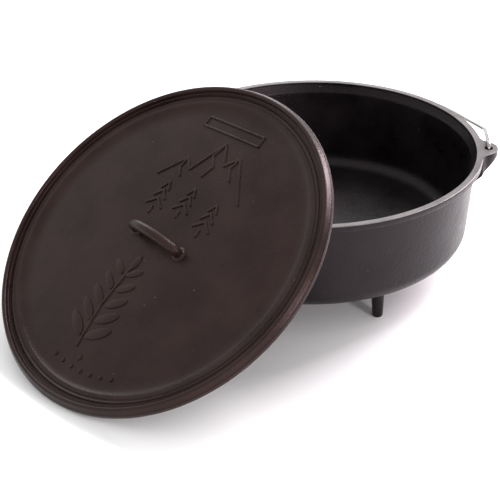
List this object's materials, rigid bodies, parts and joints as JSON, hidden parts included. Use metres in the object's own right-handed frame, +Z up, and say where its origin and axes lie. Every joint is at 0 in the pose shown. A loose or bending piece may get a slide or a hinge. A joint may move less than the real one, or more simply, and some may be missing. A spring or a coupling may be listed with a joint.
{
  "type": "camp dutch oven",
  "caption": "Wide cast iron camp dutch oven on tapered legs, with a high-lipped loop-handled lid leaning on its rim and a wire bail folded back behind it.",
  "frame": {"origin": "on the ground under the centre of the pot, on the pot's axis", "axes": "+Z up along the pot's axis; +X through the middle of the right ear; the lid leans towards -X and -Y and the bail lies folded towards +Y"},
  "size_m": [0.5924, 0.6224, 0.2615],
  "materials": {
    "pot_iron": "fine sand-cast black, seasoned, with a paler ground rim",
    "lid_iron": "satin brown-black baked-on seasoning over a sand-cast grain",
    "zinc_wire": "bright zinc-plated drawn wire"
  },
  "bodies": {
    "pot": {"pot_shell": "pot_iron", "ear_right": "pot_iron", "ear_left": "pot_iron", "leg_front": "pot_iron", "leg_back": "pot_iron", "leg_left": "pot_iron"},
    "bail": {"bail_wire": "zinc_wire"},
    "lid": {"lid_plate": "lid_iron", "lid_handle": "lid_iron"}
  },
  "joints": [
    {"name": "bail_swing", "type": "hinge", "parent": "pot", "child": "bail", "pos_m": [0, 0.007, 0.1587], "axis": [1, 0, 0], "range_deg": [0, 94]},
    {"name": "lid_lift", "type": "slide", "parent": "pot", "child": "lid", "axis": [0, 0, 1], "range_m": [0, 0.25]}
  ]
}
